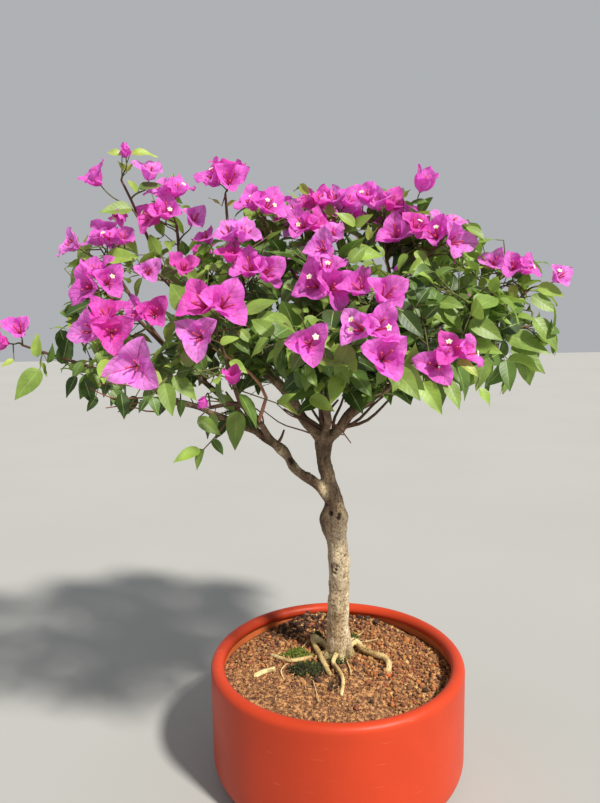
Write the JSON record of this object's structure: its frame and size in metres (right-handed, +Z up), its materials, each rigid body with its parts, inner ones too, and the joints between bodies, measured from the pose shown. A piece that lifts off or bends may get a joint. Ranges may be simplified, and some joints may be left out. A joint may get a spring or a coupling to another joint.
{
  "type": "potted bougainvillea bush",
  "caption": "Small bougainvillea trained to a single gnarled trunk, with a wide leafy crown of cupped pink blossoms, in a low round terracotta-coloured pot.",
  "frame": {"origin": "centre of the pot's flat underside", "axes": "+Z up along the pot's axis, +X to the right and -Y to the front as the picture shows the plant"},
  "size_m": [0.5628, 0.4196, 0.6219],
  "materials": {
    "pot": "satin terracotta-red, faintly scratched round",
    "soil": "gritty red-brown soil with pebbles",
    "bark": "grey-brown bark with knots and pores",
    "root": "pale smooth surface root",
    "leaves": "soft green leaves",
    "blossom": "papery magenta-pink bracts"
  },
  "bodies": {
    "root": {"pot": "pot", "soil": "soil", "trunk": "bark", "root_left_arch": "root", "root_front": "root", "root_right": "root", "root_left_low": "root", "left_limb": "bark", "left_low_bough": "bark", "left_front_bough": "bark", "left_back_bough": "bark", "upper_left_bough": "bark", "upper_left_outer_bough": "bark", "centre_bough": "bark", "front_bough": "bark", "right_bough": "bark", "upper_right_bough": "bark", "right_outer_bough": "bark", "front_right_bough": "bark", "back_bough": "bark", "back_left_bough": "bark", "back_right_bough": "bark", "long_left_shoot": "leaves", "left_low_blossom": "blossom", "big_front_left": "leaves", "left_lower_leaves": "leaves", "front_left_blossom": "leaves", "front_left_leaves": "leaves", "hanging_sprig": "leaves", "far_left_blossom": "blossom", "left_blossom": "leaves", "tall_left_shoot": "blossom", "upper_left_blossom": "blossom", "centre_left_blossom": "leaves", "upper_front_blossom": "blossom", "top_stalk": "blossom", "top_left_blossom": "blossom", "top_centre_blossom": "blossom", "front_top_blossom": "leaves", "front_blossom": "leaves", "front_low_leaves": "leaves", "top_right_blossom": "blossom", "top_right_shoot": "leaves", "upper_right_blossom": "blossom", "right_front_blossom": "leaves", "front_right_blossom": "blossom", "low_right_blossom": "leaves", "right_lower_leaves": "leaves", "right_leaves": "leaves", "right_outer_leaves": "leaves", "right_top_blossom": "leaves", "right_tip_shoot": "leaves", "back_top_blossom": "blossom", "back_low_leaves": "leaves", "back_left_blossom": "blossom", "back_left_low_leaves": "leaves", "back_right_blossom": "blossom", "back_right_low_leaves": "leaves"}
  },
  "joints": []
}
